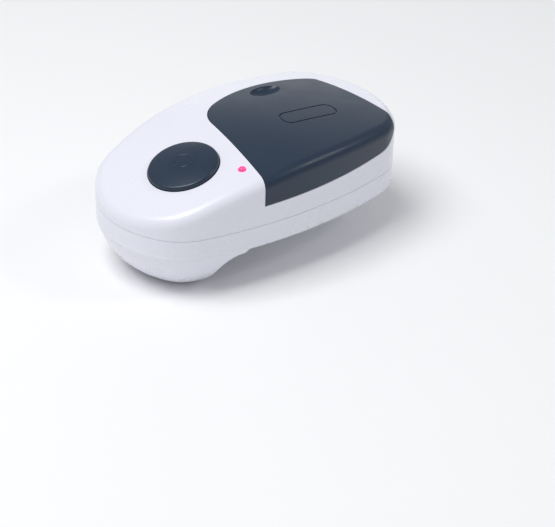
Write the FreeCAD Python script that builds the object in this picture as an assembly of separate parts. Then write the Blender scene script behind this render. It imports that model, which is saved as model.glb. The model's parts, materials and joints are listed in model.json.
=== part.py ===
import FreeCAD, Part
import math
import os
from FreeCAD import Vector as V

os.makedirs("parts", exist_ok=True)

# ---- overall form -----------------------------------------------------------
# The frame: X runs from the nose (minus) to the battery end (plus), Y across,
# Z up.  The origin is under the middle of the box, level with the chin.
length = 117.0            # nose to battery end
width = 69.0              # across the widest place
chin_drop = 15.0          # chin below the face that rests on the can rim
body_height = 31.5        # crest above that face
parting_above = 9.5       # housing parting plane above that face
half = length / 2
rim_z = chin_drop
crest_z = rim_z + body_height
parting_z = rim_z + parting_above
wide_x = 5.0              # where the plan is widest
crest_x = 11.0            # where the back is highest

side_r = 170.0            # the plan: sides, ends, and the corners between them
nose_r, nose_corner_r = 36.0, 22.0
rear_r, rear_corner_r = 44.0, 19.0
front_arc_r, rear_arc_r, nose_arc_r = 155.0, 330.0, 90.0
nose_arc_x = -half + 16.5
crown_r = 240.0           # roundness of the back across the body
top_round, bottom_round = 4.2, 3.2

wall = 2.2
cover_wall = 1.8
gap = 0.3                 # plain clearance between parts
seam_half, seam_deep = 0.10, 0.18   # fine groove where the two housings meet
run = 0.04                # radial clearance of running fits

# chin: (height, how far the hull has drawn in from the plan)
chin_hull = ((0.0, 14.5), (1.2, 11.4), (3.6, 8.0), (7.5, 4.3), (11.5, 2.0),
             (rim_z - 0.5, 0.75), (rim_z + 1.0, 0.2), (rim_z + bottom_round, 0.02))
chin_rear = -half + 24.5
chin_corner, chin_sweep = 3.0, 9.0
pocket_half = 13.0

# ---- train ------------------------------------------------------------------
pressure = math.radians(20)
addendum, dedendum, backlash = 0.75, 1.0, 0.08
m_fast, m_mid, m_slow = 0.5, 0.6, 0.8
n_motor, n_gear1 = 12, 40
n_pinion1, n_gear2 = 12, 36
n_pinion2, n_final = 12, 28
n_clutch, n_clutch_pinion, n_carrier = 20, 12, 32

rim_inner_x = -half + 30.0        # where the wall of the can seam passes
drive_wheel_r, cutter_r = 5.0, 7.5
seam_gap, throw = 1.2, 2.8        # closed gap, and offset of the cutter axle
drive = V(rim_inner_x + drive_wheel_r, 0, 0)
carrier = V(rim_inner_x - seam_gap - cutter_r - throw, 0, 0)
cutter = carrier + V(-throw, 0, 0)

motor_r, motor_h = 7.7, 18.4
motor = drive + V(14.4, -13.9, 0)
mid_angle = 50.0


def polar(c, r, deg):
    a = math.radians(deg)
    return c + V(r * math.cos(a), r * math.sin(a), 0)


def meet(c1, r1, c2, r2, side):
    """The point r1 from c1 and r2 from c2, on the left (+1) or right (-1)."""
    d = c2 - c1
    along = (r1 ** 2 - r2 ** 2 + d.Length ** 2) / (2 * d.Length)
    up = math.sqrt(r1 ** 2 - along ** 2)
    u = V(d).normalize()
    return c1 + u * along + V(-u.y, u.x, 0) * up * side


def spacing(m, n1, n2):
    return m * (n1 + n2) / 2


axis2 = polar(drive, spacing(m_slow, n_pinion2, n_final), mid_angle)
axis1 = meet(motor, spacing(m_fast, n_motor, n_gear1),
             axis2, spacing(m_mid, n_pinion1, n_gear2), -1)
clutch = meet(carrier, spacing(m_slow, n_clutch_pinion, n_carrier),
              drive, spacing(m_slow, n_clutch, n_final), 1)

# levels of the train, upwards from the floor
floor_z = rim_z + wall
gear1_z, gear1_t = floor_z + 0.5, 2.2
pinion1_top = gear1_z + gear1_t + 3.3
gear2_z, gear2_t = gear1_z + gear1_t + 0.7, 2.2
final_z, final_t = gear2_z + gear2_t + 0.7, 3.2
pinion2_top = final_z + final_t + 0.4
plate_z, plate_t = pinion2_top + 0.3, 1.4
shaft_top = plate_z + plate_t + 1.2
carrier_z, carrier_t = floor_z + 0.3, 2.2
motor_z = gear1_z + gear1_t + 1.1
pin_r, shaft_r = 1.0, 2.0
hub_r = throw + cutter_r + 0.65

post_r, boss_r, screw_r, head_r = 2.6, 2.8, 1.0, 1.9
posts = (V(-half + 12.5, 16, 0), V(-half + 12.5, -16, 0),
         drive + V(-2, -18, 0), drive + V(23.5, 20, 0))
screws = (V(-16, -25.5, 0), V(8, 26.0, 0), V(33, 24.0, 0), V(33, -24.0, 0))
magnet_at, magnet_r, magnet_t = drive + V(16, 0, 0), 6.0, 3.0

# ---- button, lamp, cover, cells ---------------------------------------------
button_at = V(-half + 26.5, -5.0, 0)
button_r, button_lip, button_rise, button_travel = 12.8, 1.3, 2.2, 1.2
lamp_at, lamp_r = V(-half + 39.0, -22.2, 0), 1.5
cover_x, cover_slant = -10.9, math.radians(11.3)
cover_far_r, cover_far_at = 55.0, V(19.0, -32.7, 0)      # bowed far edge
cover_rear_r, cover_rear_at = 49.0, V(2.5, -8.0, 0)      # bowed rear edge
cover_corner_r, cover_turn_r = 15.0, 12.0                # its two far corners
skirt_z, skirt_tilt, skirt_rise = rim_z + 17.5, 9.0, 2.0
skirt_turn_r, cover_end_x = 14.0, half - 7.0             # where the skirt sweeps up at the rear
cell_r, cell_l = 7.25, 50.5
tray_wall, spring_l, strip_t = 1.0, 1.7, 0.5
bay_x = motor.x + motor_r + tray_wall + 0.4
cell_z = rim_z + 18.8
bay_y = 2 * cell_r + 0.5
deck_z, deck_t = motor_z + motor_h + 0.6, 1.2
deck_edge = 1.8                        # the deck stops this far inside the shell's wall


# ---- plain shapes -----------------------------------------------------------
O = V(0, 0, 0)


def box(x0, x1, y0, y1, z0, z1):
    return Part.makeBox(x1 - x0, y1 - y0, z1 - z0, V(x0, y0, z0))


def rod(at, z0, z1, r):
    return Part.makeCylinder(r, z1 - z0, V(at.x, at.y, z0))


def ring(at, z0, z1, r_out, r_in):
    return rod(at, z0, z1, r_out).cut(rod(at, z0 - 1, z1 + 1, r_in))


def cone(at, z0, z1, r0, r1):
    return Part.makeCone(r0, r1, z1 - z0, V(at.x, at.y, z0))


def tube(points, r):
    """A round wire along smoothed points."""
    curve = Part.BSplineCurve()
    curve.interpolate(points)
    path = Part.Wire([curve.toShape()])
    start = Part.Wire([Part.makeCircle(r, points[0], curve.tangent(curve.FirstParameter)[0])])
    return path.makePipeShell([start], True, True)


def coil(r, wire_r, z0, z1, turns):
    """An open coil of round wire standing on the origin's axis."""
    steps = int(turns * 16)
    return tube([polar(V(0, 0, z0 + (z1 - z0) * k / steps), r, 360.0 * turns * k / steps)
                 for k in range(steps + 1)], wire_r)


def arc(p, q, centre, r):
    mid = centre + ((p - centre) + (q - centre)).normalize() * r
    return Part.Arc(p, mid, q).toShape()


def save(name, *shapes):
    shape = shapes[0] if len(shapes) == 1 else Part.makeCompound(list(shapes))
    shape.exportStep("parts/%s.step" % name)
    solids = shape.Solids
    ok = all(s.isValid() and s.Volume > 0 for s in solids)
    print("%-18s %2d solids %9.1f mm3 %s" % (name, len(solids), sum(s.Volume for s in solids),
                                             "" if ok else "NOT SOUND"))


# ---- the outer form ---------------------------------------------------------
def outline(inset, z):
    """The plan of the body, drawn in by inset: eight arcs that run smoothly."""
    runs = []
    for sx, sy in ((1, 1), (1, -1), (-1, -1), (-1, 1)):
        end_r, corner_r = (rear_r, rear_corner_r) if sx > 0 else (nose_r, nose_corner_r)
        side = V(wide_x, sy * (width / 2 - side_r), 0)
        end = V(sx * (half - end_r), 0, 0)
        corner = meet(end, end_r - corner_r, side, side_r - corner_r, sx * sy)
        on_side = side + (corner - side).normalize() * (side_r - inset)
        on_end = end + (corner - end).normalize() * (end_r - inset)
        runs.append((side, corner, end, on_side, on_end, end_r - inset, corner_r - inset))
    edges = []
    for k in range(4):
        side, corner, end, on_side, on_end, end_r, corner_r = runs[k]
        nxt = runs[(k + 1) % 4]
        edges.append(arc(on_side, on_end, corner, corner_r))
        if k % 2 == 0:
            edges.append(arc(on_end, nxt[4], end, end_r))
        else:
            edges.append(arc(on_side, nxt[3], side, side_r - inset))
    wire = Part.Wire(Part.__sortEdges__(edges))
    wire.translate(V(0, 0, z))
    return wire


def side_y(x):
    """The near side of the plan at a place along the body."""
    return side_r - width / 2 - math.sqrt(side_r ** 2 - (x - wide_x) ** 2)


def prism(inset, z0, z1):
    return Part.Face(outline(inset, z0)).extrude(V(0, 0, z1 - z0))


def back(inset):
    """All that lies under the curved back: its profile turned about a low axis."""
    axis_z = crest_z - crown_r
    reach = half + 20

    def arc_z(x, cx, cz, r):
        return cz + math.sqrt(r ** 2 - (x - cx) ** 2)

    def flip(x, z):
        return V(x, 0, 2 * axis_z - z)

    rc = V(crest_x, 0, crest_z - rear_arc_r)
    fc = V(crest_x, 0, crest_z - front_arc_r)
    join = V(nose_arc_x, 0, arc_z(nose_arc_x, fc.x, fc.z, front_arc_r))
    nc = join + (fc - join).normalize() * nose_arc_r
    ends = []
    for cx, cz, r, x0, x1 in ((rc.x, rc.z, rear_arc_r - inset, reach, crest_x),
                              (fc.x, fc.z, front_arc_r - inset, crest_x, None),
                              (nc.x, nc.z, nose_arc_r - inset, None, -reach)):
        meet_x = nc.x + (join.x - nc.x) * (nose_arc_r - inset) / nose_arc_r
        x0 = meet_x if x0 is None else x0
        x1 = meet_x if x1 is None else x1
        xm = (x0 + x1) / 2
        ends.append([flip(x, arc_z(x, cx, cz, r)) for x in (x0, xm, x1)])
    edges = [Part.Arc(*three).toShape() for three in ends]
    first, last = ends[0][0], ends[-1][2]
    edges += [Part.makeLine(last, V(-reach, 0, axis_z)),
              Part.makeLine(V(-reach, 0, axis_z), V(reach, 0, axis_z)),
              Part.makeLine(V(reach, 0, axis_z), first)]
    face = Part.Face(Part.Wire(Part.__sortEdges__(edges)))
    return face.revolve(V(0, 0, axis_z), V(1, 0, 0), 360)


def main_body(inset):
    """The body above the rim, drawn in all round by inset."""
    low = rim_z + inset
    solid = prism(inset, low, crest_z + 5).common(back(inset))
    edge_line = outline(inset, 0)
    top, bottom = [], []
    for e in solid.Edges:
        b = e.BoundBox
        if b.ZMax < low + 0.01:
            bottom.append(e)
            continue
        if b.XLength < 0.01 and b.YLength < 0.01:
            continue
        mid = e.valueAt((e.FirstParameter + e.LastParameter) / 2)
        if Part.Vertex(mid.x, mid.y, 0).distToShape(edge_line)[0] < 0.05:
            top.append(e)
    solid = solid.makeFillet(top_round - inset, top)
    bottom = [e for e in solid.Edges if e.BoundBox.ZMax < low + 0.01]
    return solid.makeFillet(max(bottom_round - inset, 0.6), bottom)


def chin_side():
    """The chin seen from the side, as a slab right across the body."""
    x, c, s = chin_rear, chin_corner, chin_sweep
    p = [V(-half - 10, 0, 0), V(x - c, 0, 0), V(x, 0, c), V(x, 0, rim_z - s),
         V(x + s, 0, rim_z), V(x + s + 9, 0, parting_z), V(-half - 10, 0, parting_z)]
    edges = [Part.makeLine(p[0], p[1]), arc(p[1], p[2], V(x - c, 0, c), c),
             Part.makeLine(p[2], p[3]), arc(p[3], p[4], V(x + s, 0, rim_z - s), s),
             Part.makeLine(p[4], p[5]), Part.makeLine(p[5], p[6]), Part.makeLine(p[6], p[0])]
    face = Part.Face(Part.Wire(edges))
    face.translate(V(0, -width, 0))
    return face.extrude(V(0, 2 * width, 0))


def chin_form(inset):
    wires = [outline(extra + inset, z) for z, extra in chin_hull]
    return Part.makeLoft(wires, True, False)


# ---- gears ------------------------------------------------------------------
def tooth_profile(m, n):
    """One flank as (radius, half angle) pairs from root to tip."""
    pitch = m * n / 2
    base = pitch * math.cos(pressure)
    root, tip = pitch - dedendum * m, pitch + addendum * m
    inv = math.tan(pressure) - pressure
    half_pitch = (math.pi * m / 2 - backlash) / 2 / pitch
    flank = []
    start = max(base, root)
    steps = 4
    for k in range(steps + 1):
        r = start + (tip - start) * k / steps
        a = math.acos(base / r)
        flank.append((r, half_pitch + inv - (math.tan(a) - a)))
    return root, flank


def gear(at, z0, z1, m, n, phase, bore=0.0):
    """A spur gear with involute flanks; phase is where one tooth points."""
    root, flank = tooth_profile(m, n)
    edges = []
    pitch_deg = 360.0 / n

    def point(r, deg):
        return polar(V(at.x, at.y, z0), r, deg)

    for k in range(n):
        mid = phase + k * pitch_deg
        up = [point(r, mid - math.degrees(a)) for r, a in flank]
        down = [point(r, mid + math.degrees(a)) for r, a in reversed(flank)]
        foot = math.degrees(flank[0][1])
        r0 = point(root, mid - foot)
        r1 = point(root, mid + foot)
        nxt = point(root, mid + pitch_deg - foot)
        for pts in (up, down):
            curve = Part.BSplineCurve()
            curve.interpolate(pts)
            pts.append(curve.toShape())
        if flank[0][0] > root + 1e-6:
            edges.append(Part.makeLine(r0, up[0]))
            edges.append(Part.makeLine(down[-2], r1))
        edges += [up[-1], Part.Arc(up[-2], point(flank[-1][0], mid), down[0]).toShape(), down[-1],
                  Part.Arc(r1, point(root, mid + pitch_deg / 2), nxt).toShape()]
    face = Part.Face(Part.Wire(Part.__sortEdges__(edges)))
    solid = face.extrude(V(0, 0, z1 - z0))
    if bore:
        solid = solid.cut(rod(at, z0 - 1, z1 + 1, bore))
    return solid


def bearing(a, b):
    return math.degrees(math.atan2(b.y - a.y, b.x - a.x))


def meshed(phase1, at1, n1, at2, n2):
    """The phase that puts a gap of gear 2 on the tooth of gear 1."""
    line = bearing(at1, at2)
    return line + 180 - (phase1 - line) * n1 / n2 + 180.0 / n2


# ---- housings and cover -----------------------------------------------------
outer = main_body(0)
inner = main_body(wall)


def line_on_arc(base, along, centre, r):
    """Where a line from base meets a circle, going the way of along."""
    foot = (centre - base).dot(along)
    off = (base + along * foot - centre).Length
    return base + along * (foot + math.sqrt(r ** 2 - off ** 2))


def skirt_side(grow):
    """All above the skirt's lower edge: a tilted plane that sweeps up at the rear."""
    rise = math.radians(skirt_rise)
    r = skirt_turn_r + grow
    x = cover_end_x - skirt_turn_r
    centre = V(x, 0, math.tan(rise) * x + skirt_turn_r / math.cos(rise))
    foot = centre + V(math.sin(rise), 0, -math.cos(rise)) * r
    start = foot - V(math.cos(rise), 0, math.sin(rise)) * 3 * length
    turned = centre + V(r, 0, 0)
    p, q = V(turned.x, 0, 2 * crest_z), V(start.x, 0, 2 * crest_z)
    face = Part.Face(Part.Wire([Part.makeLine(start, foot), arc(foot, turned, centre, r),
                                Part.makeLine(turned, p), Part.makeLine(p, q),
                                Part.makeLine(q, start)]))
    side = face.extrude(V(0, 4 * width, 0))
    side.translate(V(0, -2 * width, 0))
    side.rotate(O, V(1, 0, 0), skirt_tilt)
    side.translate(V(0, -width / 2, skirt_z))
    return side


def cover_zone(grow):
    """Where the cover lies: inside a slanted front and two bowed edges, over a tilted plane."""
    front = V(math.tan(cover_slant), 1, 0).normalize()
    far_r, rear_r_out = cover_far_r + grow, cover_rear_r + grow
    base = V(cover_x - grow, 0, 0)
    near = base - front * width
    first = line_on_arc(base, front, cover_far_at, far_r)
    second = meet(cover_far_at, far_r, cover_rear_at, rear_r_out, -1)
    last = line_on_arc(V(0, -width / 2 - 2, 0), V(1, 0, 0), cover_rear_at, rear_r_out)
    out = V(last.x, near.y, 0)
    wire = Part.Wire([Part.makeLine(near, first), arc(first, second, cover_far_at, far_r),
                      arc(second, last, cover_rear_at, rear_r_out), Part.makeLine(last, out),
                      Part.makeLine(out, near)])
    zone = Part.Face(wire).extrude(V(0, 0, 2 * crest_z))
    for corner, r in ((first, cover_corner_r), (second, cover_turn_r)):
        post = [e for e in zone.Edges if e.BoundBox.ZLength > crest_z
                and math.hypot(e.BoundBox.XMin - corner.x, e.BoundBox.YMin - corner.y) < 0.1]
        zone = zone.makeFillet(r + grow, post)
    return zone.common(skirt_side(grow))


def back_z(at):
    """Height of the back over a point, and its slope toward the nose."""
    r = front_arc_r if at.x < crest_x else rear_arc_r
    dx = at.x - crest_x
    z_line = crest_z - r + math.sqrt(r ** 2 - dx ** 2)
    turn = z_line - crest_z + crown_r
    z = crest_z - crown_r + math.sqrt(turn ** 2 - at.y ** 2)
    return z, math.degrees(math.asin(-dx / r))


button_z, button_tilt = back_z(button_at)
lamp_z, lamp_tilt = back_z(lamp_at)


def tilted(shape, at, z, tilt):
    """Stand a shape, made upright about the origin, on the sloping back."""
    s = shape.copy()
    s.rotate(V(0, 0, 0), V(0, 1, 0), -tilt)
    s.translate(V(at.x, at.y, z))
    return s


seam = prism(-1, parting_z - seam_half, parting_z + seam_half).cut(
    prism(seam_deep, parting_z - 1, parting_z + 1))
below = box(-length, length, -width, width, -1, parting_z)
over = box(-length, length, -width, width, parting_z, 2 * crest_z)

form = outer.fuse(chin_form(0).common(chin_side()))
lower = form.common(below).cut(inner)
pocket = chin_form(wall).common(box(-length, chin_rear + 20, -pocket_half, pocket_half,
                                    wall, rim_z))
lower = lower.cut(pocket).cut(seam)
for at in posts:
    lower = lower.fuse(rod(at, floor_z - 0.5, plate_z, post_r).common(inner.fuse(below)))
    lower = lower.cut(rod(at, plate_z - 7, plate_z + 1, screw_r))
for at in screws:
    lower = lower.fuse(rod(at, floor_z - 0.5, parting_z, boss_r))
    lower = lower.cut(rod(at, rim_z - 1, parting_z + 1, screw_r + 0.2))
    lower = lower.cut(rod(at, rim_z - 1, rim_z + 2.0, head_r + 0.15))
mount_posts = (motor + V(-9.4, -4.0, 0), motor + V(7.0, -7.6, 0))
board_at = V(29, 0, 0)
board_x, board_y, board_z, board_t = 30.0, 24.0, floor_z + 3.0, 1.2
board_posts = [board_at + V(sx * (board_x / 2 - 3), sy * (board_y / 2 - 3), 0)
               for sx in (-1, 1) for sy in (-1, 1)]
for at in mount_posts:
    lower = lower.fuse(rod(at, floor_z - 0.5, motor_z - 0.8, 2.0))
    lower = lower.cut(rod(at, floor_z + 0.2, motor_z, 0.7))
for at in board_posts:
    lower = lower.fuse(rod(at, floor_z - 0.5, board_z, 1.8))
    lower = lower.fuse(rod(at, board_z, board_z + board_t + 0.5, 0.8))
lower = lower.fuse(rod(magnet_at, rim_z - magnet_t + 0.5, rim_z + 0.5, magnet_r + 1.6))
lower = lower.cut(rod(magnet_at, rim_z - magnet_t - 1, rim_z + 0.5, magnet_r))
for at in (axis1, axis2, clutch):
    lower = lower.cut(rod(at, floor_z - 1.4, floor_z + 1, pin_r))
bush_r = shaft_r + 1.5
lower = lower.cut(rod(drive, rim_z - 1, floor_z + 1, bush_r))
lower = lower.cut(rod(carrier, rim_z - 1, floor_z + 1, hub_r + run))
save("lower_housing", lower.removeSplitter())

upper = outer.cut(inner).common(over)
for at in screws:
    side = 1 if at.y > 0 else -1
    stay = box(at.x - 1.0, at.x + 1.0, min(at.y, side * width / 2), max(at.y, side * width / 2),
               parting_z, parting_z + 5.5)
    boss = rod(at, parting_z, parting_z + 5.5, boss_r).fuse(stay).common(outer)
    upper = upper.fuse(boss).cut(rod(at, parting_z - 1, parting_z + 4.5, screw_r))
upper = upper.cut(cover_zone(gap)).cut(seam)
upper = upper.cut(tilted(rod(O, -12, 6, button_r + gap), button_at, button_z, button_tilt))
upper = upper.cut(tilted(rod(O, -12, 6, lamp_r), lamp_at, lamp_z, lamp_tilt))
save("upper_housing", upper.removeSplitter())

cover = outer.cut(main_body(cover_wall)).common(cover_zone(0))
dimple_at, dimple = V(22, 15.5, 0), (7.2, 4.6, 3.2)


def lens(grow):
    m = FreeCAD.Matrix()
    m.scale(*[d + grow for d in dimple])
    s = Part.makeSphere(1.0).transformGeometry(m)
    s.rotate(O, V(1, 0, 0), -20)
    s.translate(V(dimple_at.x, dimple_at.y, back_z(dimple_at)[0] + 1.3))
    return s


cover = cover.fuse(lens(1.4).common(outer).common(cover_zone(0))).cut(lens(0))
mark_at, mark_l, mark_w, mark_turn = V(22, -8.6, 0), 23.0, 8.4, -8.0
groove, groove_deep = 0.6, 0.35


def lozenge(inset):
    l, w = mark_l / 2 - inset, mark_w / 2 - inset
    s = box(-l, l, -w, w, parting_z, 3 * crest_z)
    s = s.makeFillet(w * 0.8, [e for e in s.Edges if e.BoundBox.ZLength > crest_z])
    s.rotate(O, V(0, 0, 1), mark_turn)
    s.translate(mark_at)
    return s


cover = cover.cut(lozenge(0).cut(lozenge(groove)).cut(main_body(groove_deep)))
tab_x = (-7.0, 16.0)
for x in tab_x:
    y0 = side_y(x + 6) + wall + 0.7
    tab = box(x, x + 6, y0, y0 + 1.2, skirt_z - 2.0, skirt_z + 4)
    link = box(x, x + 6, -width / 2, y0 + 1.2, skirt_z + 1.0, skirt_z + 4)
    cover = cover.fuse(tab.fuse(link.common(outer).common(cover_zone(0))))
save("battery_cover", cover.removeSplitter())

# ---- button, switch and lamp ------------------------------------------------
crown = Part.makeSphere(60.0, V(0, 0, button_rise - 60.0))
cap = rod(O, -4.2, button_rise + 1, button_r).common(crown)
rim_edges = [e for e in cap.Edges if e.BoundBox.ZMin > 0 and e.BoundBox.XLength > button_r]
cap = cap.makeFillet(0.9, rim_edges)
cap = cap.cut(rod(O, -5, -1.5, button_r - 1.6))
flange_z = -wall - 1.6
cap = cap.fuse(ring(O, flange_z - 1.0, flange_z, button_r + button_lip, button_r - 1.6))
stem_z = -3.5
cap = cap.fuse(rod(O, stem_z, -1.2, 2.5))
save("push_button", tilted(cap, button_at, button_z, button_tilt).removeSplitter())

seat_z, switch_h, switch_bore = -8.4, 2.8, 2.5
switch_top = seat_z + switch_h
plunger_top = stem_z - 0.3
body = box(-4, 4, -4, 4, seat_z, switch_top).cut(
    rod(O, switch_top - switch_bore, switch_top + 1, 1.5 + run))
save("switch_body", tilted(body, button_at, button_z, button_tilt))
save("switch_plunger", tilted(rod(O, switch_top - switch_bore + button_travel + gap,
                                  plunger_top, 1.5), button_at, button_z, button_tilt))
coil_r, coil_wire = 6.7, 0.35
coil_z0, coil_z1 = seat_z + coil_wire + 0.05, -1.5 - coil_wire - 0.05
save("button_spring", tilted(coil(coil_r, coil_wire, coil_z0, coil_z1, 3.5),
                              button_at, button_z, button_tilt))

wedge = tilted(rod(O, seat_z - 14, seat_z, coil_r + 1.4), button_at, button_z, button_tilt)
wedge = wedge.common(box(-length, length, -width, width, plate_z + plate_t, 2 * crest_z))
save("switch_mount", wedge.cut(rod(drive, 0, shaft_top + 0.5, shaft_r + 2.0)))

led = rod(O, -5.2, -0.4, lamp_r).fuse(Part.makeSphere(lamp_r, V(0, 0, -0.4)).common(
    rod(O, -0.4, 3, lamp_r)))
led = led.fuse(rod(O, -wall - 1.9, -wall - 0.9, lamp_r + 0.6))
save("indicator_lamp", tilted(led, lamp_at, lamp_z, lamp_tilt))
leads = [tilted(box(s * 0.65 - 0.2, s * 0.65 + 0.2, -0.2, 0.2, -9.5, -5.2),
                lamp_at, lamp_z, lamp_tilt) for s in (-1, 1)]
save("lamp_leads", *leads)

# ---- gear train -------------------------------------------------------------
final_phase = bearing(drive, axis2)
final = gear(drive, final_z, final_z + final_t, m_slow, n_final, final_phase, shaft_r)
save("final_gear", final)
phase_p2 = meshed(final_phase, drive, n_final, axis2, n_pinion2)
gear2 = gear(axis2, gear2_z, gear2_z + gear2_t, m_mid, n_gear2, bearing(axis2, axis1))
gear2 = gear2.fuse(gear(axis2, gear2_z + gear2_t - 0.2, pinion2_top, m_slow, n_pinion2, phase_p2))
save("second_gear", gear2.cut(rod(axis2, 0, crest_z, pin_r + run)))
phase_p1 = meshed(bearing(axis2, axis1), axis2, n_gear2, axis1, n_pinion1)
gear1 = gear(axis1, gear1_z, gear1_z + gear1_t, m_fast, n_gear1, bearing(axis1, motor))
gear1 = gear1.fuse(gear(axis1, gear1_z + gear1_t - 0.2, pinion1_top, m_mid, n_pinion1, phase_p1))
save("first_gear", gear1.cut(rod(axis1, 0, crest_z, pin_r + run)))
phase_m = meshed(bearing(axis1, motor), axis1, n_gear1, motor, n_motor)
save("motor_pinion", gear(motor, gear1_z - 0.1, gear1_z + gear1_t + 0.2, m_fast, n_motor, phase_m,
                          pin_r))
phase_c = meshed(final_phase, drive, n_final, clutch, n_clutch)
clutch_gear = gear(clutch, final_z + 0.2, final_z + final_t - 0.2, m_slow, n_clutch, phase_c)
clutch_gear = clutch_gear.fuse(rod(clutch, gear2_z + 2.8, final_z + 0.3, 3.0))
save("clutch_gear", clutch_gear.cut(rod(clutch, 0, crest_z, pin_r + run)))
carrier_phase = bearing(carrier, clutch)
phase_cp = meshed(carrier_phase, carrier, n_carrier, clutch, n_clutch_pinion)
clutch_pinion = gear(clutch, gear1_z, gear1_z + 2.6, m_slow, n_clutch_pinion, phase_cp)
disc_z = gear1_z + 2.6
clutch_pinion = clutch_pinion.fuse(rod(clutch, disc_z - 0.1, disc_z + 1.1, 6.0))
save("clutch_pinion", clutch_pinion.cut(rod(clutch, 0, crest_z, pin_r + run)))
washer_z0, washer_z1 = disc_z + 1.1 + 0.1, gear2_z + 2.8
washer = cone(clutch, washer_z0, washer_z1, 5.2, 2.2).cut(
    cone(clutch, washer_z0 - 0.4, washer_z1 - 0.4, 5.2, 2.2)).cut(
    rod(clutch, washer_z0 - 1, washer_z1 + 1, pin_r + 0.2))
save("clutch_spring", washer)

save("gear_pins", *[rod(at, floor_z - 1.4, plate_z + plate_t, pin_r)
                    for at in (axis1, axis2, clutch)])
wheel_z0, wheel_z1 = rim_z - 5.4, rim_z - 0.7
save("drive_shaft", rod(drive, wheel_z0, shaft_top, shaft_r).cut(
    ring(drive, shaft_top - 0.9, shaft_top - 0.4, shaft_r + 1, shaft_r - 0.4)))
clip = ring(drive, shaft_top - 0.88, shaft_top - 0.42, shaft_r + 1.3, shaft_r - 0.4)
save("shaft_clip", clip.cut(box(drive.x, drive.x + 5, -0.9, 0.9, 0, crest_z)))
save("drive_bush", ring(drive, rim_z + 0.1, floor_z, bush_r, shaft_r + run))

teeth = 30
grip = []
for k in range(teeth):
    a = 360.0 * k / teeth
    grip.append(polar(V(drive.x, drive.y, wheel_z0), drive_wheel_r, a))
    grip.append(polar(V(drive.x, drive.y, wheel_z0), drive_wheel_r - 0.45, a + 180.0 / teeth))
wheel = Part.Face(Part.makePolygon(grip + [grip[0]])).extrude(V(0, 0, wheel_z1 - wheel_z0))
wheel = wheel.cut(rod(drive, 0, rim_z, shaft_r))
save("drive_wheel", wheel)

carrier_body = gear(carrier, carrier_z, carrier_z + carrier_t, m_slow, n_carrier, carrier_phase)
carrier_body = carrier_body.fuse(rod(carrier, rim_z + 0.1, carrier_z + 0.1, hub_r))
carrier_body = carrier_body.fuse(rod(carrier, carrier_z, plate_z + plate_t, shaft_r))
axle_r, axle_top = 1.5, carrier_z + carrier_t
axle_z0 = rim_z - 8.4
carrier_body = carrier_body.cut(rod(cutter, rim_z - 1, axle_top - 0.6, axle_r))
save("cutter_carrier", carrier_body)
axle = rod(cutter, axle_z0, axle_top - 0.6, axle_r).fuse(rod(cutter, axle_z0 - 1.2, axle_z0, 3.0))
save("cutter_axle", axle)
edge_z = rim_z - 2.6
blade = rod(cutter, axle_z0 + 0.2, rim_z - 0.4, 3.8)
blade = blade.fuse(cone(cutter, edge_z - 1.5, edge_z, 5.0, cutter_r)).fuse(
    cone(cutter, edge_z, edge_z + 0.35, cutter_r, cutter_r - 0.5)).fuse(
    cone(cutter, edge_z + 0.35, edge_z + 0.8, cutter_r - 0.5, 4.6))
save("cutting_wheel", blade.cut(rod(cutter, 0, rim_z, axle_r + run)))
save("lid_magnet", rod(magnet_at, rim_z - magnet_t + 0.3, rim_z + 0.5, magnet_r))

# ---- plates, motor and screws -----------------------------------------------
plate = main_body(wall + 1.6).common(
    box(-half + 9.5, drive.x + 27, -width, width, plate_z, plate_z + plate_t))
plate = plate.cut(rod(motor, 0, crest_z, motor_r + 1.2))
plate = plate.cut(box(motor.x - 3, half, -width, motor.y, 0, crest_z))
plate = plate.cut(box(bay_x - tray_wall - 0.6, half, -width, bay_y + tray_wall + 0.6, 0, crest_z))
for at in (axis1, axis2, clutch):
    plate = plate.cut(rod(at, 0, crest_z, pin_r))
for at in posts:
    plate = plate.cut(rod(at, 0, crest_z, screw_r + 0.2))
plate = plate.cut(rod(drive, 0, crest_z, shaft_r + run)).cut(rod(carrier, 0, crest_z, shaft_r + run))
for at in screws:
    plate = plate.cut(rod(at, 0, crest_z, boss_r + 1.2))
save("gearbox_plate", max(plate.Solids, key=lambda s: s.Volume))


def screw(at, seat, tip, up):
    """A pan-head screw: its head bears on seat and its point is at tip."""
    side = 1 if up else -1
    lo, hi = sorted((seat, tip))
    h0, h1 = sorted((seat, seat + side * 1.6))
    s = rod(at, lo, hi, screw_r).fuse(rod(at, h0, h1, head_r))
    slot_z = seat + side * 1.6
    s0, s1 = sorted((slot_z, slot_z - side * 0.8))
    for w, d in ((2.2, 0.45), (0.45, 2.2)):
        s = s.cut(box(at.x - w / 2, at.x + w / 2, at.y - d / 2, at.y + d / 2, s0, s1))
    return s


save("gearbox_screws", *[screw(at, plate_z + plate_t, plate_z - 6.5, True) for at in posts])
save("housing_screws", *[screw(at, rim_z + 2.0, parting_z + 4.2, False) for at in screws])

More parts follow.
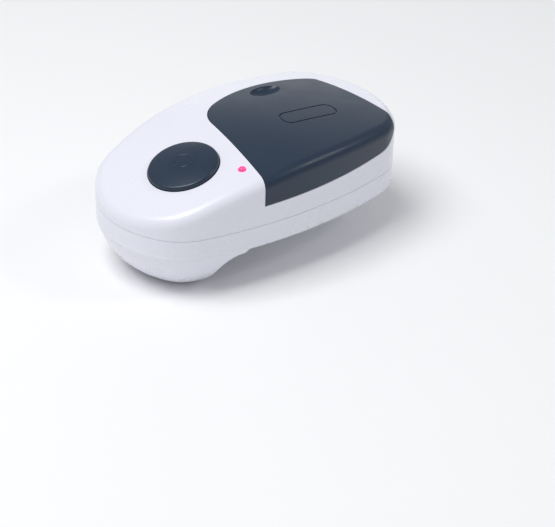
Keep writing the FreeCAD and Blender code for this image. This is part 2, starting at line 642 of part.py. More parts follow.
mount = rod(motor, motor_z - 0.8, motor_z, motor_r + 0.6)
for at in mount_posts:
    mount = mount.fuse(rod(at, motor_z - 0.8, motor_z, 2.4))
mount = mount.cut(rod(motor, 0, crest_z, 3.0))
for at in mount_posts:
    mount = mount.cut(rod(at, 0, crest_z, 0.75))
save("motor_mount", mount)
save("mount_screws", *[rod(at, floor_z + 0.4, motor_z, 0.7).fuse(
    rod(at, motor_z, motor_z + 0.9, 1.4)) for at in mount_posts])
can_top = motor_z + motor_h - 3.0
can = rod(motor, motor_z, can_top, motor_r)
can = can.cut(rod(motor, motor_z + 0.8, can_top + 1, motor_r - 0.8))
can = can.fuse(ring(motor, motor_z - 0.8, motor_z + 0.2, 3.0, 1.6)).cut(
    rod(motor, motor_z - 2, motor_z + 2, 1.6))
save("motor_can", can)
end_cap = rod(motor, can_top, motor_z + motor_h, motor_r - 0.2).cut(
    rod(motor, can_top - 1, can_top + 1.6, 2.2))
save("motor_end_cap", end_cap)
save("motor_magnets", *[ring(motor, motor_z + 3, can_top - 1.5, motor_r - 0.8, motor_r - 2.2).common(
    box(motor.x - 20, motor.x + 20, *sorted((motor.y + s * 2.2, motor.y + s * 12)), 0, crest_z))
    for s in (-1, 1)])
rotor = rod(motor, motor_z + 3.2, can_top - 1.8, motor_r - 2.6)
for k in range(3):
    slot = box(0.9, 9, -0.5, 0.5, 0, crest_z)
    slot.rotate(O, V(0, 0, 1), 120 * k)
    slot.translate(V(motor.x, motor.y, 0))
    rotor = rotor.cut(slot.common(ring(motor, 0, crest_z, 20, 2.6)))
rotor = rotor.fuse(rod(motor, gear1_z - 0.1, can_top + 1.2, pin_r))
save("motor_rotor", rotor)

# ---- cells, tray and board --------------------------------------------------
cells = [V(0, s * (cell_r + 0.15), cell_z) for s in (-1, 1)]
cell_x0 = bay_x + spring_l
cell_x1 = cell_x0 + cell_l
bay_x1 = cell_x1 + strip_t
tray_z = cell_z - cell_r - 0.15


def cell(c, turned):
    x0 = cell_x0
    body = Part.makeCylinder(cell_r, cell_l - 1.2, V(x0, c.y, c.z), V(1, 0, 0))
    body = body.fuse(Part.makeCylinder(2.7, 1.2, V(x0 + cell_l - 1.2, c.y, c.z), V(1, 0, 0)))
    if turned:
        body.rotate(V(x0 + cell_l / 2, c.y, c.z), V(0, 0, 1), 180)
    return body


save("cells", cell(cells[0], False), cell(cells[1], True))
clear = main_body(wall + gap)
deck = prism(wall + gap + deck_edge, deck_z, deck_z + deck_t).common(
    box(cover_x - 4, half, -width, width, deck_z, deck_z + deck_t))
tray = deck.fuse(box(bay_x - tray_wall, bay_x1 + tray_wall, -bay_y - tray_wall, bay_y + tray_wall,
                     tray_z - 1.2, deck_z + deck_t)).common(clear)
tray = tray.cut(box(bay_x, bay_x1, -bay_y, bay_y, tray_z, crest_z))
for x in (bay_x + 8, bay_x1 - 8):
    for s in (-1, 1):
        tray = tray.fuse(rod(V(x, s * 14.0, 0), floor_z, tray_z - 0.6, 1.8))
for x in tab_x:
    tray = tray.cut(box(x - 1, x + 7, -width, -width / 2 + wall + 5.5, 0, crest_z))
save("battery_tray", max(tray.removeSplitter().Solids, key=lambda s: s.Volume))


bay_spring = coil(3.0, 0.25, 0, spring_l - 0.65, 2)
bay_spring.rotate(O, V(0, 1, 0), 90)
bay_spring.translate(V(bay_x + 0.32, cells[0].y, cell_z))
save("cell_spring", bay_spring)
save("cell_contact", box(bay_x, bay_x + 0.4, cells[1].y - 4, cells[1].y + 4, cell_z - 5, cell_z + 4).fuse(
    Part.makeCylinder(2.0, spring_l - 0.05, V(bay_x, cells[1].y, cell_z), V(1, 0, 0))))
save("bridge_strip", box(cell_x1 + 0.02, bay_x1, -12.5, 12.5, cell_z - 4, cell_z + 4))

board = box(board_at.x - board_x / 2, board_at.x + board_x / 2, -board_y / 2, board_y / 2,
            board_z, board_z + board_t)
for at in board_posts:
    board = board.cut(rod(at, 0, crest_z, 0.8))
save("control_board", board)
bz = board_z + board_t
save("board_parts", box(board_at.x - 8, board_at.x - 2, -3, 3.5, bz, bz + 2.0),
     box(board_at.x + 2, board_at.x + 6, 2, 7, bz, bz + 1.4),
     rod(board_at + V(5, -6, 0), bz, bz + 2.6, 2.0))


def lead(points):
    return tube([V(*p) for p in points], 0.6)


z_in = tray_z - 1.9
save("power_wires", *[lead(((bay_x + 3, s * 7, z_in), (bay_x + 6, s * 8, z_in - 0.4),
                           (board_at.x - 14, s * 8.2, bz + 1.6), (board_at.x - 11, s * 7, bz + 0.7)))
                      for s in (-1, 1)])
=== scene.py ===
# %% [markdown]
# # A hands-free can opener, finished around its working frame
# The opener is a domed white body that rides on the rim of a can.  A slate cover closes the battery
# bay, and a round slate button starts the motor.  The engineering model comes in as a fixed frame:
# every gear, screw and shell is already in place, so this lesson only adds finishes and fine detail.

# %% Load the frame and keep its box
import json
import math
import bmesh
import bpy
from mathutils import Matrix, Vector
from mathutils.bvhtree import BVHTree


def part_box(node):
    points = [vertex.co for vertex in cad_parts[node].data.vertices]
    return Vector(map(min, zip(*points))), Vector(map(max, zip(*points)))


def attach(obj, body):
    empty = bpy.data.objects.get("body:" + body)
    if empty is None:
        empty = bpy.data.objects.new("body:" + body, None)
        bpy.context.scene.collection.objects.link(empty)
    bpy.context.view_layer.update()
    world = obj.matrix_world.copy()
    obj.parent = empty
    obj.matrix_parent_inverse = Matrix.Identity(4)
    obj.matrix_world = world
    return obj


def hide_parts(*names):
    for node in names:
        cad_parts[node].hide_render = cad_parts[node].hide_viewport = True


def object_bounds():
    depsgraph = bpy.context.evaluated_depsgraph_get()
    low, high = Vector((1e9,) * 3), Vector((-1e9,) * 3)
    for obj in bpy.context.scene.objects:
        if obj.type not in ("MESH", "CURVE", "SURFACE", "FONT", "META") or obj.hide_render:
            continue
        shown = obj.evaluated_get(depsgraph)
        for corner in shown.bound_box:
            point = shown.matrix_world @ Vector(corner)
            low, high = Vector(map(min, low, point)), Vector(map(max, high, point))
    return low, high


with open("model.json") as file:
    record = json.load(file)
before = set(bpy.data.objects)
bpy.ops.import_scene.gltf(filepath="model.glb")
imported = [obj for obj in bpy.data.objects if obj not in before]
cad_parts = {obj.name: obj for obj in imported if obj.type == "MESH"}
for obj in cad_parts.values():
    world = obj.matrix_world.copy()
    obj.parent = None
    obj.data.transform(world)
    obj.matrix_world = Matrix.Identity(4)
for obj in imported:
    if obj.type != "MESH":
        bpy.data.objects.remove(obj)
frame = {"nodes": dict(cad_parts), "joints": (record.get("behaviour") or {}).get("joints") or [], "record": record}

cad_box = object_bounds()
nodes = frame["nodes"]
mm = 0.001
scene = bpy.context.scene
low, high = cad_box
print("frame of", len(nodes), "parts,", [round((h - l) / mm, 1) for l, h in zip(low, high)], "mm")

# %% [markdown]
# ## Small tools for building materials
# A finish is a Principled shader with a few texture nodes in front of it.  Values that are the same
# all over go straight on the shader.  Only what changes across the surface comes from nodes: grain
# in the roughness, tiny relief through a Bump node, and a paler edge colour: wear where an edge is
# rubbed, and on the slate parts a painted highlight.


# %% Node helpers
def add(tree, kind, settings=None, **values):
    """Put a node in the tree, with its settings and its input values."""
    made = tree.nodes.new(kind)
    for key, value in (settings or {}).items():
        setattr(made, key, value)
    for key, value in values.items():
        made.inputs[key.replace("_", " ")].default_value = value
    return made


def start_finish(name, colour, roughness, metallic=0.0):
    """A material with its shader, and the object coordinates that its textures read."""
    made = bpy.data.materials.new(name)
    made.use_nodes = True
    tree = made.node_tree
    shader = tree.nodes["Principled BSDF"]
    shader.inputs["Base Color"].default_value = (*colour, 1.0)
    shader.inputs["Roughness"].default_value = roughness
    shader.inputs["Metallic"].default_value = metallic
    place = tree.nodes.new("ShaderNodeTexCoord").outputs["Object"]
    return made, tree, shader, place


def grain(tree, place, size, detail=3.0, stretch=(1, 1, 1)):
    """Soft noise whose features are about size across; stretch squeezes it along an axis."""
    squeezed = add(tree, "ShaderNodeMapping", Scale=stretch)
    tree.links.new(place, squeezed.inputs["Vector"])
    noise = add(tree, "ShaderNodeTexNoise", Scale=1.0 / size, Detail=detail, Roughness=0.55)
    tree.links.new(squeezed.outputs["Vector"], noise.inputs["Vector"])
    return noise.outputs["Fac"]


def spread(tree, value, low_out, high_out, low_in=0.3, high_in=0.7):
    """Map a value that runs from low_in to high_in onto another range."""
    ranged = add(tree, "ShaderNodeMapRange", From_Min=low_in, From_Max=high_in,
                 To_Min=low_out, To_Max=high_out)
    tree.links.new(value, ranged.inputs["Value"])
    return ranged.outputs["Result"]


# This edge mask places rubbed wear on most finishes and a painted highlight on the slate ones.
def edges_worn_and_lit(tree, radius):
    """1 on outside and inside edges, 0 on open surfaces: a rounded normal against the true one."""
    rounded = add(tree, "ShaderNodeBevel", {"samples": 4}, Radius=radius)
    true = tree.nodes.new("ShaderNodeNewGeometry")
    likeness = add(tree, "ShaderNodeVectorMath", {"operation": "DOT_PRODUCT"})
    tree.links.new(rounded.outputs["Normal"], likeness.inputs[0])
    tree.links.new(true.outputs["Normal"], likeness.inputs[1])
    return spread(tree, likeness.outputs["Value"], 1.0, 0.0, 0.80, 0.99)


def blend_colour(tree, amount, first, second, shader):
    """Colour the surface with first, and with second where amount is 1."""
    mixed = add(tree, "ShaderNodeMix", {"data_type": "RGBA"})
    mixed.inputs[6].default_value = (*first, 1.0)
    mixed.inputs[7].default_value = (*second, 1.0)
    tree.links.new(amount, mixed.inputs[0])
    tree.links.new(mixed.outputs[2], shader.inputs["Base Color"])
    return mixed


def relief(tree, shader, height, depth):
    """Raise the surface by depth where height is 1."""
    bump = add(tree, "ShaderNodeBump", Distance=depth, Strength=1.0)
    tree.links.new(height, bump.inputs["Height"])
    tree.links.new(bump.outputs["Normal"], shader.inputs["Normal"])


print("node helpers ready")

# %% [markdown]
# ## Glossy white shell plastic
# The shells are moulded in a polished tool, so they are smooth but never perfect: the gloss drifts a
# little, a shallow orange-peel ripple softens reflections, and rubbed edges go a touch paler.  A clear-coat
# layer would look like paint, so the plastic keeps one glossy layer and gets its life from noise.


# %% Moulded plastic
def moulded(name, colour, gloss, peel, peel_depth, edge, edge_size=0.35 * mm, mottle=0.04):
    """Moulded plastic.  gloss is the lowest and highest roughness; peel the size of its ripple."""
    made, tree, shader, place = start_finish(name, colour, sum(gloss) / 2)
    drift = grain(tree, place, 9 * mm, 4.0)
    tree.links.new(spread(tree, drift, *gloss), shader.inputs["Roughness"])
    # Paler edges: wear where they are rubbed, and on the slate parts a painted highlight.
    wear_and_highlight_share = add(tree, "ShaderNodeMath", {"operation": "MULTIPLY"})
    tree.links.new(edges_worn_and_lit(tree, edge_size), wear_and_highlight_share.inputs[0])
    tree.links.new(spread(tree, grain(tree, place, 2.5 * mm), 0.25, 1.0), wear_and_highlight_share.inputs[1])
    shade = add(tree, "ShaderNodeMix", {"data_type": "RGBA"})
    shade.inputs[6].default_value = (*colour, 1.0)
    shade.inputs[7].default_value = (*[c * (1 - mottle) for c in colour], 1.0)
    tree.links.new(spread(tree, grain(tree, place, 0.3 * mm), 0.0, 1.0), shade.inputs[0])
    mixed = blend_colour(tree, wear_and_highlight_share.outputs[0], colour, edge, shader)
    tree.links.new(shade.outputs[2], mixed.inputs[6])
    relief(tree, shader, grain(tree, place, peel, 3.0), peel_depth)
    return made


finishes = {
    "white_shell": moulded("white_shell", (0.78, 0.785, 0.86), (0.26, 0.30), 2.4 * mm, 0.004 * mm,
                           (0.80, 0.805, 0.88), edge_size=0.12 * mm, mottle=0.006),
}
print("white shell ready")

# %% [markdown]
# ## Slate plastic of the cover and the button
# The blue-grey parts come from a tool with a fine spark-eroded texture, which spreads highlights into
# a soft sheen.  The same helper makes it: a smaller ripple and higher roughness.  Thin edges catch the
# light and go paler.  On the button a thumb has polished the middle, so its roughness also falls
# towards the button's own centre, read from the frame.

# %% Slate plastics
slate = (0.010, 0.026, 0.054)
# The paler slate edge colour is a painted highlight, where thin edges catch the light.
slate_edge_highlight = (0.050, 0.080, 0.120)
finishes["slate_plastic"] = moulded("slate_plastic", slate, (0.30, 0.38), 0.22 * mm, 0.006 * mm,
                                    slate_edge_highlight, mottle=0.10)
finishes["slate_button"] = moulded("slate_button", slate, (0.28, 0.36), 0.26 * mm, 0.006 * mm,
                                   slate_edge_highlight, mottle=0.10)


def polish_middle(made, centre, reach, smoother):
    """Lower the roughness within reach of a centre."""
    tree = made.node_tree
    shader = tree.nodes["Principled BSDF"]
    place = next(n for n in tree.nodes if n.type == "TEX_COORD").outputs["Object"]
    away = add(tree, "ShaderNodeVectorMath", {"operation": "DISTANCE"})
    tree.links.new(place, away.inputs[0])
    away.inputs[1].default_value = centre
    share = spread(tree, away.outputs["Value"], smoother, 1.0, 0.0, reach)
    scaled = add(tree, "ShaderNodeMath", {"operation": "MULTIPLY"})
    tree.links.new(shader.inputs["Roughness"].links[0].from_socket, scaled.inputs[0])
    tree.links.new(share, scaled.inputs[1])
    tree.links.new(scaled.outputs[0], shader.inputs["Roughness"])


button_low, button_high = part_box("push_button")
button_centre = (button_low + button_high) / 2
button_centre.z = button_high.z
thumb_reach, thumb_gloss = 11 * mm, 0.8
polish_middle(finishes["slate_button"], button_centre, thumb_reach, thumb_gloss)
print("slate plastics ready, thumb spot at", [round(c / mm, 1) for c in button_centre])

# %% [markdown]
# ## Plastics inside
# Gears are pale nylon, which is waxy: a little light passes into it, so it gets subsurface scattering.
# The cutter carrier is black acetal, slippery and satin.  The battery tray, the switch and the motor
# cap are plain mouldings, left duller because nobody sees them.

# %% Inner plastics
nylon = (0.74, 0.71, 0.62)
finishes["pale_nylon"] = moulded("pale_nylon", nylon, (0.38, 0.52), 0.5 * mm, 0.006 * mm,
                                 (0.80, 0.78, 0.70), edge_size=0.15 * mm)
wax = finishes["pale_nylon"].node_tree.nodes["Principled BSDF"]
wax.inputs["Subsurface Weight"].default_value = 0.25
wax.inputs["Subsurface Radius"].default_value = (1.0, 0.7, 0.4)
wax.inputs["Subsurface Scale"].default_value = 0.6 * mm
finishes["acetal_black"] = moulded("acetal_black", (0.012, 0.012, 0.014), (0.28, 0.40), 0.4 * mm,
                                   0.006 * mm, (0.05, 0.05, 0.055))
finishes["black_plastic"] = moulded("black_plastic", (0.014, 0.014, 0.014), (0.45, 0.60), 0.3 * mm,
                                    0.012 * mm, (0.05, 0.05, 0.05))
finishes["white_inner"] = moulded("white_inner", (0.68, 0.69, 0.71), (0.45, 0.60), 0.6 * mm,
                                  0.012 * mm, (0.76, 0.77, 0.79))
finishes["dark_ferrite"] = moulded("dark_ferrite", (0.030, 0.030, 0.032), (0.70, 0.85), 0.12 * mm,
                                   0.03 * mm, (0.07, 0.07, 0.07), mottle=0.3)
finishes["green_board"] = moulded("green_board", (0.012, 0.135, 0.055), (0.25, 0.40), 0.35 * mm,
                                  0.010 * mm, (0.33, 0.32, 0.16), edge_size=0.2 * mm, mottle=0.25)
finishes["red_wire"] = moulded("red_wire", (0.48, 0.020, 0.014), (0.40, 0.50), 0.5 * mm, 0.006 * mm,
                               (0.55, 0.05, 0.04))
print(len(finishes), "plastic finishes so far")

# %% [markdown]
# ## Metals
# Bare metal shows how it was made.  Turned shafts carry rings round their axis and rolled sheet
# carries fine lines along the roll, so the grain is noise squeezed in one direction.  It drives the
# roughness and a very shallow bump; edges are polished brighter.


# %% Metal with a lay
def metal(name, colour, gloss, lay, size, depth, edge, anisotropic, spots):
    """Bare or plated metal.  lay squeezes the grain: a large number makes fine lines across it."""
    made, tree, shader, place = start_finish(name, colour, sum(gloss) / 2, 1.0)
    shader.inputs["Anisotropic"].default_value = anisotropic
    lines = grain(tree, place, size, 4.0, lay)
    clouds = grain(tree, place, 4 * mm, 3.0)
    both = add(tree, "ShaderNodeMath", {"operation": "ADD"})
    tree.links.new(spread(tree, lines, 0.0, 0.6), both.inputs[0])
    tree.links.new(spread(tree, clouds, 0.0, 0.4), both.inputs[1])
    tree.links.new(spread(tree, both.outputs[0], *gloss, 0.0, 1.0), shader.inputs["Roughness"])
    mixed = blend_colour(tree, edges_worn_and_lit(tree, 0.12 * mm), colour, edge, shader)
    if spots:
        stained = add(tree, "ShaderNodeMix", {"data_type": "RGBA"})
        stained.inputs[6].default_value = (*colour, 1.0)
        stained.inputs[7].default_value = (*[c * (1 - spots) for c in colour], 1.0)
        tree.links.new(spread(tree, clouds, 0.0, 1.0, 0.45, 0.7), stained.inputs[0])
        tree.links.new(stained.outputs[2], mixed.inputs[6])
    relief(tree, shader, lines, depth)
    return made


turned, rolled, drawn = (1, 1, 14), (1, 12, 1), (1, 1, 1)
metals = (
    ("spring_steel", (0.50, 0.50, 0.50), (0.25, 0.40), drawn, 0.3 * mm, (0.62, 0.62, 0.62), 0.0),
    ("bright_steel", (0.60, 0.60, 0.61), (0.18, 0.34), turned, 0.6 * mm, (0.75, 0.75, 0.75), 0.1),
    ("hard_steel", (0.55, 0.56, 0.58), (0.14, 0.30), turned, 0.5 * mm, (0.78, 0.78, 0.80), 0.1),
    ("brass_part", (0.70, 0.47, 0.17), (0.20, 0.36), turned, 0.5 * mm, (0.85, 0.66, 0.34), 0.15),
    ("nickel_plate", (0.66, 0.63, 0.58), (0.12, 0.26), drawn, 0.8 * mm, (0.76, 0.74, 0.70), 0.08),
    ("zinc_plate", (0.52, 0.54, 0.58), (0.30, 0.46), rolled, 0.5 * mm, (0.68, 0.69, 0.72), 0.2),
    ("motor_iron", (0.20, 0.20, 0.21), (0.40, 0.60), turned, 0.4 * mm, (0.40, 0.40, 0.41), 0.3),
    ("tinned_wire", (0.64, 0.64, 0.62), (0.22, 0.36), drawn, 0.3 * mm, (0.72, 0.72, 0.70), 0.1),
)
lay_depth, lay_stretch = 0.004 * mm, 0.3
for name, colour, gloss, lay, size, edge, spots in metals:
    finishes[name] = metal(name, colour, gloss, lay, size, lay_depth, edge, lay_stretch, spots)
print("metals:", ", ".join(row[0] for row in metals))

# %% [markdown]
# ## The pink lamp
# A small dome of clear resin, tinted pink, glows when the opener runs.  The glow is strongest in the
# middle of the dome, where the chip sits, so the emission falls off with distance from its tip.

# %% Lamp
lamp_low, lamp_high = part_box("indicator_lamp")
lamp_tip = (lamp_low + lamp_high) / 2
lamp_tip.z = lamp_high.z
finishes["pink_lamp"], tree, shader, place = start_finish("pink_lamp", (0.85, 0.055, 0.22), 0.16)
away = add(tree, "ShaderNodeVectorMath", {"operation": "DISTANCE"})
away.inputs[1].default_value = lamp_tip
tree.links.new(place, away.inputs[0])
tree.links.new(spread(tree, away.outputs["Value"], 0.9, 0.35, 0.0, 2 * mm),
               shader.inputs["Emission Strength"])
shader.inputs["Emission Color"].default_value = (1.0, 0.07, 0.30, 1.0)
relief(tree, shader, grain(tree, place, 0.5 * mm), 0.004 * mm)
print("lamp tip at", [round(c / mm, 1) for c in lamp_tip])

# %% [markdown]
# ## Cell jackets
# A dry cell wears a thin sleeve that is shrunk on, glossy and never quite flat.  A painted picture
# could wrap round it, but a plain green film with broad, shallow waves is enough, so the moulding
# helper makes it.  The copper band at one end is a part of the cell's own outline, further down.

# %% Cell sleeve
finishes["cell_jacket"] = moulded("cell_jacket", (0.03, 0.16, 0.055), (0.18, 0.30), 2.5 * mm,
                                  0.012 * mm, (0.10, 0.26, 0.12), mottle=0.08)
print("cell sleeve ready")

# %% [markdown]
# ## Dress the frame
# The record says which finish each part takes, so one loop puts the new materials on.

# %% Put the finishes on
for part in frame["record"]["subparts"]:
    nodes[part["node"]].material_slots[0].material = finishes[part["material_slot"]]

# %% [markdown]
# ## Start mark on the button
# A raised start mark is moulded in the middle of the button, so a thumb finds it: an open ring with a
# bar, the sign found on any appliance.  It has to lie on a dome.  Each point of its line is dropped
# along the button's own axis onto the frame's mesh, and a round bead is swept along the hits, sunk so
# that only its top shows.


# %% Lay a bead on the dome
def from_curve(name, lines, radius, material):
    """A mesh of round beads swept along lines of points."""
    curve = bpy.data.curves.new(name, "CURVE")
    curve.dimensions = "3D"
    curve.bevel_depth = radius
    curve.bevel_resolution = 3
    curve.use_fill_caps = True
    for points in lines:
        spline = curve.splines.new("POLY")
        spline.points.add(len(points) - 1)
        for knot, point in zip(spline.points, points):
            knot.co = (*point, 1.0)
    holder = bpy.data.objects.new(name, curve)
    scene.collection.objects.link(holder)
    ready = holder.evaluated_get(bpy.context.evaluated_depsgraph_get())
    mesh = bpy.data.meshes.new_from_object(ready)
    bpy.data.objects.remove(holder)
    mesh.materials.clear()
    mesh.materials.append(material)
    mesh.shade_smooth()
    made = bpy.data.objects.new(name, mesh)
    scene.collection.objects.link(made)
    return made


press = next(j for j in frame["joints"] if j["name"] == "button_press")
outward = -Vector(press["axis"]).normalized()
across = Vector((0, 1, 0))
along = across.cross(outward)
dome = BVHTree.FromPolygons([v.co for v in nodes["push_button"].data.vertices],
                            [p.vertices for p in nodes["push_button"].data.polygons])
bead, sunk_share = 0.32 * mm, 0.35
ring_r, opening, ring_steps = 3.4 * mm, math.radians(40), 48
bar_start, bar_length, bar_steps = 0.7 * mm, 3.6 * mm, 12


def on_dome(u, v):
    """The place on the button's dome u along and v across from its middle."""
    start = (button_low + button_high) / 2 + along * u + across * v + outward * 20 * mm
    return dome.ray_cast(start, -outward)[0] - outward * bead * sunk_share


sweep = 2 * math.pi - 2 * opening
turns = [opening + sweep * k / ring_steps for k in range(ring_steps + 1)]
open_ring = [on_dome(-ring_r * math.cos(a), ring_r * math.sin(a)) for a in turns]
bar = [on_dome(-bar_start - bar_length * k / bar_steps, 0) for k in range(bar_steps + 1)]
start_mark = from_curve("start_mark", [open_ring, bar], bead, finishes["slate_button"])
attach(start_mark, "button")
print("start mark:", len(start_mark.data.polygons), "faces")

# %% [markdown]
# ## Dry cells
# Two cells lie side by side, turned opposite ways.  A cell is a turned form: flat base, rolled edge,
# long sleeve, a crimp near the positive end and a small nub.  So one outline is spun round its axis.
# The outline also says where the metal ends, the copper band and the sleeve begin.


# %% Spin the cells
def spun(name, outline, centre, direction, steps=64):
    """Spin (distance along X, radius, material) rows about a line along X.  Both ends close."""
    shape = bmesh.new()
    rings = []
    for x, r, _ in outline:
        at = Vector((centre.x + direction * x, centre.y, centre.z))
        if r == 0:
            rings.append([shape.verts.new(at)])
            continue
        rings.append([shape.verts.new(at + Vector((0, r * math.cos(a), r * math.sin(a))))
                      for a in (2 * math.pi * k / steps for k in range(steps))])
    for (first, second), row in zip(zip(rings, rings[1:]), outline):
        for k in range(steps):
            near, far = k, (k + 1) % steps
            corners = [first[near % len(first)], first[far % len(first)],
                       second[far % len(second)], second[near % len(second)]]
            unique = list(dict.fromkeys(corners))
            shape.faces.new(unique).material_index = row[2]
    bmesh.ops.recalc_face_normals(shape, faces=shape.faces)
    mesh = bpy.data.meshes.new(name)
    shape.to_mesh(mesh)
    shape.free()
    made = bpy.data.objects.new(name, mesh)
    scene.collection.objects.link(made)
    mesh.shade_smooth()
    mesh.set_sharp_from_angle(angle=math.radians(35))
    return made


cells_low, cells_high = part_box("cells")
long = (cells_high.x - cells_low.x) / mm
cell_r = (cells_high.z - cells_low.z) / 2 / mm
metal_end, sleeve, band = 0, 1, 2
cell_outline = [(0, 0, metal_end), (0, 5.6, metal_end), (0.25, 6.4, metal_end),
                (0.1, 6.7, sleeve), (0.6, cell_r, sleeve), (long - 11, cell_r, band),
                (long - 3.4, cell_r, band), (long - 2.9, cell_r - 0.35, band),
                (long - 2.3, cell_r, band), (long - 1.6, cell_r - 0.1, band),
                (long - 1.3, 6.2, metal_end), (long - 1.5, 5.4, metal_end),
                (long - 1.2, 2.75, metal_end), (long - 0.25, 2.7, metal_end),
                (long, 2.3, metal_end), (long, 0, metal_end)]
cell_outline = [(x * mm, r * mm, kind) for x, r, kind in cell_outline]
level = (cells_low.z + cells_high.z) / 2
aside = (cells_high.y - cells_low.y) / 2 - cell_r * mm
for name, side, end, direction in (("cell_near", -1, cells_low.x, 1), ("cell_far", 1, cells_high.x, -1)):
    cell = spun(name, cell_outline, Vector((end, side * aside, level)), direction)
    for kind in ("nickel_plate", "cell_jacket", "brass_part"):
        cell.data.materials.append(finishes[kind])
    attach(cell, "housing")
    if side < 0:
        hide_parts("cells")
    print(name, len(cell.data.polygons), "faces")

# %% [markdown]
# ## Ribs under the cover
# A thin cover is stiffened by ribs that follow its inner face.  They repeat and they follow a
# surface, which is work for Geometry Nodes: a row of straight lines is laid out, each point is sent up
# until it meets the cover, and a small square section is swept along.


# %% Rib tree
def socket_of(tree, name):
    """The identifier of a named input of a tree."""
    return next(s.identifier for s in tree.interface.items_tree if s.name == name)


def rib_tree():
    """Count lines, Spacing apart, cast upward onto Target and swept with a Width by Height bar."""
    tree = bpy.data.node_groups.new("cover_ribs", "GeometryNodeTree")
    face = tree.interface
    face.new_socket("Geometry", in_out="OUTPUT", socket_type="NodeSocketGeometry")
    face.new_socket("Target", in_out="INPUT", socket_type="NodeSocketObject")
    face.new_socket("Finish", in_out="INPUT", socket_type="NodeSocketMaterial")
    face.new_socket("Count", in_out="INPUT", socket_type="NodeSocketInt")
    for name in ("Start", "End", "Spacing"):
        face.new_socket(name, in_out="INPUT", socket_type="NodeSocketVector")
    for name in ("Width", "Height"):
        face.new_socket(name, in_out="INPUT", socket_type="NodeSocketFloat")
    given = tree.nodes.new("NodeGroupInput").outputs
    out = tree.nodes.new("NodeGroupOutput")
    link = tree.links.new
    row = add(tree, "GeometryNodeMeshLine", {"mode": "OFFSET"})
    link(given["Count"], row.inputs["Count"])
    link(given["Spacing"], row.inputs["Offset"])
    line = tree.nodes.new("GeometryNodeCurvePrimitiveLine")
    link(given["Start"], line.inputs["Start"])
    link(given["End"], line.inputs["End"])
    placed = tree.nodes.new("GeometryNodeInstanceOnPoints")
    link(row.outputs["Mesh"], placed.inputs["Points"])
    link(line.outputs["Curve"], placed.inputs["Instance"])
    real = tree.nodes.new("GeometryNodeRealizeInstances")
    link(placed.outputs["Instances"], real.inputs["Geometry"])
    fine = add(tree, "GeometryNodeResampleCurve", Count=40)
    link(real.outputs["Geometry"], fine.inputs["Curve"])
    target = tree.nodes.new("GeometryNodeObjectInfo")
    link(given["Target"], target.inputs["Object"])
    ray = add(tree, "GeometryNodeRaycast", Ray_Direction=(0, 0, 1), Ray_Length=0.05)
    link(target.outputs["Geometry"], ray.inputs["Target Geometry"])
    moved = tree.nodes.new("GeometryNodeSetPosition")
    link(fine.outputs["Curve"], moved.inputs["Geometry"])
    link(ray.outputs["Hit Position"], moved.inputs["Position"])
    link(ray.outputs["Is Hit"], moved.inputs["Selection"])
    bar = tree.nodes.new("GeometryNodeCurvePrimitiveQuadrilateral")
    link(given["Width"], bar.inputs["Width"])
    link(given["Height"], bar.inputs["Height"])
    swept = add(tree, "GeometryNodeCurveToMesh", Fill_Caps=True)
    link(moved.outputs["Geometry"], swept.inputs["Curve"])
    link(bar.outputs["Curve"], swept.inputs["Profile Curve"])
    painted = tree.nodes.new("GeometryNodeSetMaterial")
    link(swept.outputs["Mesh"], painted.inputs["Geometry"])
    link(given["Finish"], painted.inputs["Material"])
    link(painted.outputs["Geometry"], out.inputs[0])
    return tree


def grown(name, tree, values):
    """Run a node tree with named input values and keep the result as a plain mesh."""
    holder = bpy.data.objects.new(name, bpy.data.meshes.new(name))
    scene.collection.objects.link(holder)
    modifier = holder.modifiers.new(name, "NODES")
    modifier.node_group = tree
    for key, value in values.items():
        modifier[socket_of(tree, key)] = value
    ready = holder.evaluated_get(bpy.context.evaluated_depsgraph_get())
    mesh = bpy.data.meshes.new_from_object(ready)
    holder.modifiers.remove(modifier)
    holder.data = mesh
    return holder


cover_low, cover_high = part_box("battery_cover")
front_margin, rear_margin, skirt_margin, over_cells = 11 * mm, 7 * mm, 13 * mm, 0.6 * mm
rib_count, rib_spacing, rib_width, rib_height = 4, 8.5 * mm, 1.0 * mm, 1.6 * mm
rib_start = Vector((cover_low.x + front_margin, cover_low.y + skirt_margin, cells_high.z + over_cells))
rib_end = Vector((cover_high.x - rear_margin, rib_start.y, rib_start.z))
ribs = grown("cover_ribs", rib_tree(), {
    "Target": nodes["battery_cover"], "Finish": finishes["slate_plastic"], "Count": rib_count,
    "Start": rib_start, "End": rib_end, "Spacing": (0, rib_spacing, 0),
    "Width": rib_width, "Height": rib_height})
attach(ribs, "cover")
print("ribs:", len(ribs.data.polygons), "faces, slots", len(ribs.data.materials))

# %% [markdown]
# ## Floor
# The opener is shown on pale studio paper.  A plain white sheet would look like no material at all,
# so the paper has a slow drift in its gloss and a very fine tooth.

# %% Studio floor
floor_half = 1.2
mesh = bpy.data.meshes.new("studio_floor")
shape = bmesh.new()
bmesh.ops.create_grid(shape, x_segments=8, y_segments=8, size=floor_half)
shape.to_mesh(mesh)
shape.free()
floor = bpy.data.objects.new("studio_floor", mesh)
scene.collection.objects.link(floor)
paper, tree, shader, place = start_finish("studio_paper", (0.90, 0.90, 0.90), 0.75)
tree.links.new(spread(tree, grain(tree, place, 12 * mm), 0.70, 0.82), shader.inputs["Roughness"])
relief(tree, shader, grain(tree, place, 0.7 * mm), 0.01 * mm)
floor.data.materials.append(paper)
print("floor", 2 * floor_half, "m across")


# %% [markdown]
# ## Light
# A big soft box high over the nose is the main light.  A weak, low one behind the far side separates
# the body from the floor, and a narrow one off the battery end draws a highlight along the cover's
# near edge.  A bright even room keeps the white clean and the shadows soft.


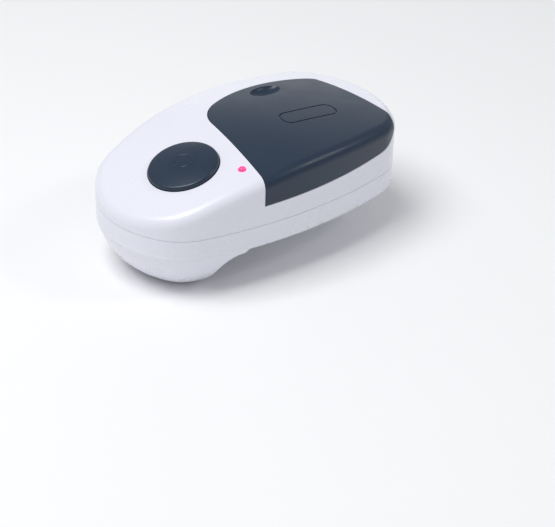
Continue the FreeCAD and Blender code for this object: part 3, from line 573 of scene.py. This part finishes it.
# %% Soft boxes
def soft_box(name, azimuth, elevation, distance, size, watts, aim):
    """A square light that looks at aim from a compass direction and a height."""
    a, e = math.radians(azimuth), math.radians(elevation)
    away = Vector((math.sin(a) * math.cos(e), -math.cos(a) * math.cos(e), math.sin(e)))
    light = bpy.data.lights.new(name, "AREA")
    light.size = size
    light.energy = watts
    lamp = bpy.data.objects.new(name, light)
    lamp.location = aim + away * distance
    lamp.rotation_euler = (-away).to_track_quat("-Z", "Y").to_euler()
    scene.collection.objects.link(lamp)


middle = (low + high) / 2
soft_box("key_light", -100, 66, 0.9, 0.55, 5.9, middle)
soft_box("rim_light", 138, 9, 0.8, 0.5, 0.45, middle)
soft_box("crease_light", 46, 40, 0.9, 0.16, 0.75, middle)
world = bpy.data.worlds.new("studio")
scene.world = world
world.use_nodes = True
world.node_tree.nodes["Background"].inputs["Color"].default_value = (0.93, 0.95, 1.0, 1.0)
world.node_tree.nodes["Background"].inputs["Strength"].default_value = 0.43
scene.view_settings.view_transform = "Standard"
print("three soft boxes and an even room")

# %% [markdown]
# ## Camera
# The camera looks down from beyond the nose, on the cover's side, with a long lens.

# %% Camera
azimuth, elevation, roll = math.radians(-40.56), math.radians(31.67), math.radians(1.64)
distance, focal_ratio = 0.6083, 2.994
right = Vector((math.cos(azimuth), math.sin(azimuth), 0))
back = Vector((math.cos(elevation) * math.sin(azimuth), -math.cos(elevation) * math.cos(azimuth),
               math.sin(elevation)))
up = back.cross(right)
right, up = (right * math.cos(roll) + up * math.sin(roll),
             up * math.cos(roll) - right * math.sin(roll))
mid_height, aim_right, aim_down = 25 * mm, 11.8 * mm, 33.2 * mm
aim = Vector((0, 0, mid_height)) + right * aim_right - up * aim_down
lens = bpy.data.cameras.new("camera")
lens.sensor_width = 36.0
lens.lens = focal_ratio * lens.sensor_width
lens.clip_start, lens.clip_end = 0.01, 20.0
camera = bpy.data.objects.new("camera", lens)
turn = Matrix((right, up, back)).transposed().to_4x4()
camera.matrix_world = Matrix.Translation(aim + back * distance) @ turn
scene.collection.objects.link(camera)
scene.camera = camera
print("camera at", [round(v, 3) for v in camera.location])
